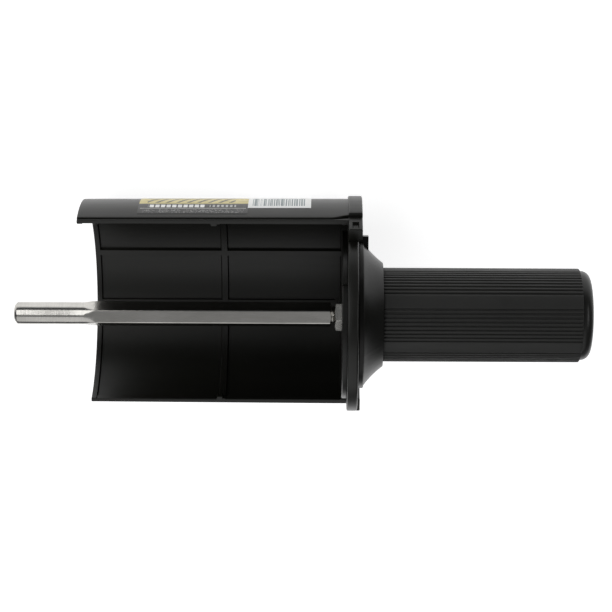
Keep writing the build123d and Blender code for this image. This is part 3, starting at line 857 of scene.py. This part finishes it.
def printed_film():
    """Black printed film: gold hazard-striped band, rules and plain blocks, no lettering."""
    finish = Finish("guard_film_print", 0.32)
    along, up = film_place(finish, LABEL_CLOCKS[0], LABEL_X)
    slant = finish.math("SUBTRACT", along, finish.math("MULTIPLY", up, STRIPE_SLANT))
    stripe = finish.blocks(slant, STRIPE_PITCH, STRIPE_SHARE)
    stripes = finish.patch(stripe, along, up, STRIPES_ALONG, STRIPES_UP)
    bold = finish.patch(finish.blocks(along, BOLD_PITCH, BOLD_SHARE), along, up, BOLD_ALONG, BOLD_UP)
    thin = finish.patch(finish.blocks(along, THIN_PITCH, THIN_SHARE), along, up, THIN_ALONG, THIN_UP)
    rule = finish.both(finish.within(up, *RULE_UP), finish.within(along, *RULE_ALONG))
    dots = finish.math("GREATER_THAN", finish.noise(1.6, 1.0, 0.5, (1, 1, 1), 31), 0.56)
    fine = finish.patch(dots, along, up, FINE_ALONG, FINE_UP)

    colour = finish.mix(finish.within(up, *GOLD_UP), FILM_BLACK, FILM_GOLD)
    layers = (
        (stripes, STRIPE_BROWN), (fine, FINE_GREY), (thin, THIN_GREY), (rule, RULE_GREY), (bold, FILM_WHITE),
    )
    for mask, tone in layers:
        colour = finish.mix(mask, colour, tone)
    wear = finish.noise(0.35, 4.0, 0.6, seed=32)
    colour = finish.mix(finish.span(wear, 0, 0.25, 0.45, 0.75), colour, WORN_BLACK)
    ripple = finish.noise(0.15, 2.0, 0.5, seed=33)
    return finish.done(colour, finish.span(wear, 0.28, 0.42, 0.3, 0.7), finish.bump(ripple, 0.02))


def printed_sticker():
    """White paper sticker with plain uneven grey bars that encode nothing."""
    finish = Finish("sticker_print", 0.6)
    along, up = film_place(finish, STICKER_CLOCKS[0], LABEL_END_X)
    bars = finish.math("GREATER_THAN", finish.noise(1.9, 1.0, 0.5, (1, 0, 0), 41), 0.49)
    bars = finish.patch(bars, along, up, BARS_ALONG, BARS_UP)
    rule = finish.both(finish.within(up, *STICKER_RULE_UP), finish.within(along, *STICKER_RULE_ALONG))
    fibres = finish.noise(1.5, 4.0, 0.7, (1, 1, 1), 42)
    paper = finish.mix(fibres, PAPER_WHITE, PAPER_SHADE)
    colour = finish.mix(finish.math("MAXIMUM", bars, rule), paper, BAR_GREY)
    return finish.done(colour, finish.span(fibres, 0.52, 0.66), finish.bump(fibres, 0.01))


# ---- making and dressing the pieces ---------------------------------------------------------

finishes = {
    "guard_plastic": moulded_plastic("guard_moulding", BLACK_DEEP, BLACK_PALE, 0.36, 0.006, 1),
    "hub_plastic": moulded_plastic("hub_moulding", HUB_DEEP, HUB_PALE, 0.32, 0.005, 4, gloss=0.26),
    "plate_plastic": moulded_plastic("plate_moulding", PLATE_DEEP, PLATE_PALE, 0.36, 0.006, 7),
    "cap_plastic": moulded_plastic("cap_moulding", CAP_DEEP, CAP_PALE, 0.34, 0.008, 9),
    "grip_rubber": grip_rubber(),
    "bright_steel": bright_steel(),
    "plated_steel": plain_steel("zinc_plate", ZINC, 0.24, 51),
    "bearing_steel": plain_steel("bearing_ground", GROUND_STEEL, 0.14, 53, grain=0.001),
    "shield_steel": plain_steel("shield_pressed", PRESSED_STEEL, 0.34, 55),
    "screw_steel": plain_steel("screw_black_oxide", BLACK_OXIDE, 0.38, 57),
    "spring_steel": plain_steel("spring_phosphate", PHOSPHATE, 0.45, 59, grain=0.006),
    "cage_nylon": plain_polymer("cage_nylon_natural", NYLON_NATURAL, 0.45, 61),
    "insert_nylon": plain_polymer("insert_nylon_blue", NYLON_BLUE, 0.4, 63),
    "friction_rubber": plain_polymer("friction_ring_rubber", RUBBER, 0.7, 65),
    "label_film": printed_film(),
    "sticker_paper": printed_sticker(),
}

for part in frame["record"]["subparts"]:
    holder = frame["nodes"][part["node"]]
    for material_slot in holder.material_slots:
        material_slot.material = finishes[part["material_slot"]]

finish_piece(spindle(), "spindle", ["spindle_bar"], finishes["bright_steel"])
finish_piece(jam_nut(), "spindle", ["jam_nut"], finishes["plated_steel"])
finish_piece(grip(), "handle", ["grip_sleeve"], finishes["grip_rubber"])
finish_piece(guard(), "guard", ["guard_shell"], finishes["guard_plastic"])
finish_piece(film("film_label", LABEL_X, LABEL_END_X, LABEL_CLOCKS), "guard",
             ["guard_label"], finishes["label_film"])
finish_piece(film("paper_sticker", LABEL_END_X, STICKER_END_X, STICKER_CLOCKS), "guard",
             ["code_sticker"], finishes["sticker_paper"])


# ---- stage, light and camera ----------------------------------------------------------------

FLOOR_SIZE = 6.0
FLOOR_TONE = (0.86, 0.86, 0.86)
FLOOR_GLOW = 0.78
GLOW_X = (-50.0, 300.0)
GLOW_Y = (-215.0, 140.0)
GLOW_FADE = 330.0
CAMERA_CLOCK = 35.0
CAMERA_X = 136.4 * MM
CAMERA_SHIFT = 0.0293
CAMERA_RISE = 3.7 * MM
CAMERA_DISTANCE = 848 * MM
CAMERA_ROLL = 0.26
LENS = 111.88
SENSOR = 36.0
WORLD_TONE = (0.94, 0.97, 1.0, 1)
WORLD_STRENGTH = 0.12

low_corner, high_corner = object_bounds()
middle = (low_corner + high_corner) / 2


def pale_floor():
    """Large pale plane that the object rests on, glowing softly round the object."""
    half = FLOOR_SIZE / 2
    corners = [(-half, -half), (half, -half), (half, half), (-half, half)]
    mesh = bpy.data.meshes.new("floor")
    mesh.from_pydata([(middle.x + x, y, low_corner.z) for x, y in corners], [], [(0, 1, 2, 3)])
    floor = bpy.data.objects.new("floor", mesh)
    bpy.context.scene.collection.objects.link(floor)
    paper = Finish("floor_paper", 0.9, Specular_IOR_Level=0.0)
    glow = FLOOR_GLOW
    for coordinate, (start, end) in ((paper.x, GLOW_X), (paper.y, GLOW_Y)):
        glow = paper.math("MULTIPLY", glow, paper.span(coordinate, 0, 1, start - GLOW_FADE, start))
        glow = paper.math("MULTIPLY", glow, paper.span(coordinate, 1, 0, end, end + GLOW_FADE))
    paper.link(glow, paper.shader.inputs["Emission Strength"])
    paper.shader.inputs["Emission Color"].default_value = (1, 1, 1, 1)
    mesh.materials.append(paper.done(FLOOR_TONE))


def soft_light(name, clock, width, length, power, along=0.0):
    """Rectangular area light one metre out at a clock angle, moved along the axis and facing it."""
    turn = radians(clock)
    away = Vector((0, sin(turn), cos(turn)))
    data = bpy.data.lights.new(name, "AREA")
    data.shape = "RECTANGLE"
    data.size = length
    data.size_y = width
    data.energy = power
    light = bpy.data.objects.new(name, data)
    bpy.context.scene.collection.objects.link(light)
    across = away.cross(Vector((1, 0, 0)))
    axes = Matrix((Vector((1, 0, 0)), across, away)).transposed().to_4x4()
    light.matrix_world = Matrix.Translation(Vector((middle.x + along, 0, 0)) + away) @ axes


def set_camera():
    """Long lens looking down on the open side of the guard, across the spindle."""
    turn = radians(CAMERA_CLOCK)
    back = Vector((0, sin(turn), cos(turn)))
    up = Vector((0, cos(turn), -sin(turn)))
    axes = Matrix((Vector((1, 0, 0)), up, back)).transposed().to_4x4()
    data = bpy.data.cameras.new("camera")
    data.lens = LENS
    data.sensor_width = SENSOR
    data.clip_end = 50
    data.shift_x = -CAMERA_SHIFT
    camera = bpy.data.objects.new("camera", data)
    bpy.context.scene.collection.objects.link(camera)
    place = Vector((CAMERA_X, 0, 0)) + up * CAMERA_RISE + back * CAMERA_DISTANCE
    camera.matrix_world = Matrix.Translation(place) @ axes @ Matrix.Rotation(radians(CAMERA_ROLL), 4, "Z")
    bpy.context.scene.camera = camera


def set_world():
    """Even pale surroundings."""
    world = bpy.data.worlds.new("studio")
    world.use_nodes = True
    background = world.node_tree.nodes["Background"]
    background.inputs["Color"].default_value = WORLD_TONE
    background.inputs["Strength"].default_value = WORLD_STRENGTH
    bpy.context.scene.world = world
    bpy.context.scene.view_settings.view_transform = "Standard"


pale_floor()
soft_light("wide_softbox", clock=-36, width=1.15, length=1.3, power=3.7, along=-0.25)
soft_light("left_softbox", clock=41, width=0.93, length=0.9, power=5.0, along=-0.68)
soft_light("right_softbox", clock=32, width=0.9, length=0.3, power=2.8, along=0.95)
soft_light("front_fill", clock=4, width=0.40, length=1.3, power=0.30)
set_camera()
set_world()
